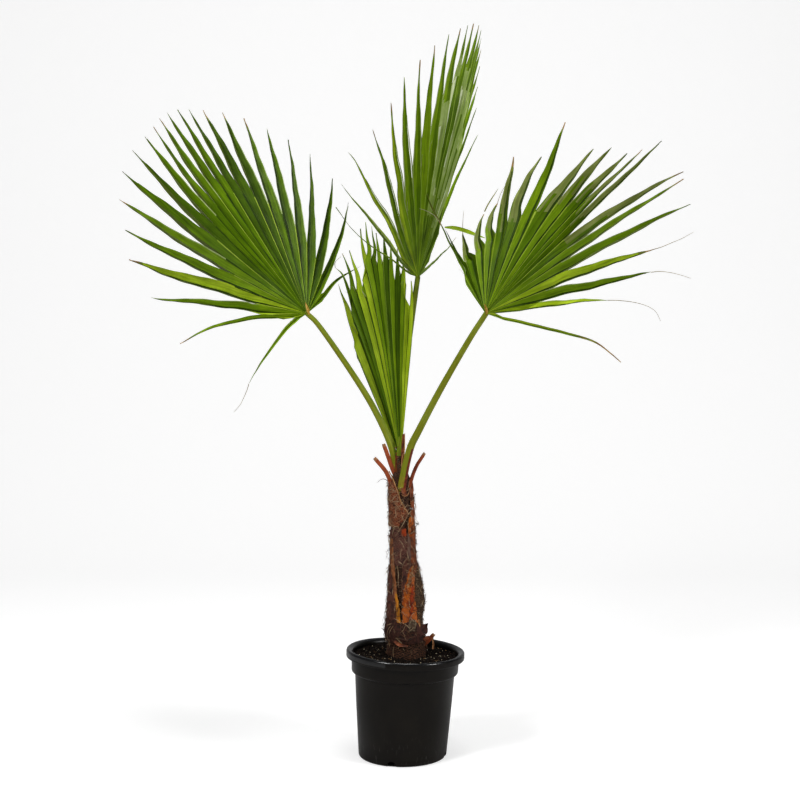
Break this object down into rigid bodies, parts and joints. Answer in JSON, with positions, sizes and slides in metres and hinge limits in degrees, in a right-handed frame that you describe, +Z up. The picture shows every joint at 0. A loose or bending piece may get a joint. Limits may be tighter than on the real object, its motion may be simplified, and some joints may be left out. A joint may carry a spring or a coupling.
{
  "type": "potted fan palm",
  "caption": "Young Mexican fan palm with wide fan-shaped leaves on long stalks and a short fibrous trunk, in a round black nursery pot.",
  "frame": {"origin": "middle of the pot's flat underside", "axes": "+Z up along the trunk, +X to the right and -Y to the front as pictured"},
  "size_m": [1.0584, 1.0079, 1.49],
  "materials": {
    "pot_plastic": "satin",
    "potting_mix": "rough",
    "trunk_bark": "rough",
    "sheath_fibre": "rough",
    "dry_stub": "rough",
    "leaf_stalk": "satin",
    "leaf_blade": "satin",
    "young_leaf": "satin"
  },
  "bodies": {
    "root": {"pot": "pot_plastic", "soil": "potting_mix", "trunk": "trunk_bark", "sheath_front": "sheath_fibre", "sheath_left": "sheath_fibre", "sheath_right": "sheath_fibre", "sheath_back": "sheath_fibre", "sheath_high": "sheath_fibre", "sheath_high_left": "sheath_fibre", "boot_right": "sheath_fibre", "petiole_young": "leaf_stalk", "petiole_right": "leaf_stalk", "petiole_left": "leaf_stalk", "petiole_back": "leaf_stalk", "stub_left_low": "dry_stub", "stub_left_high": "dry_stub", "stub_right": "dry_stub", "stub_low": "dry_stub", "frond_left": "leaf_blade", "frond_right": "leaf_blade", "frond_back": "leaf_blade", "frond_young": "young_leaf"}
  },
  "joints": []
}
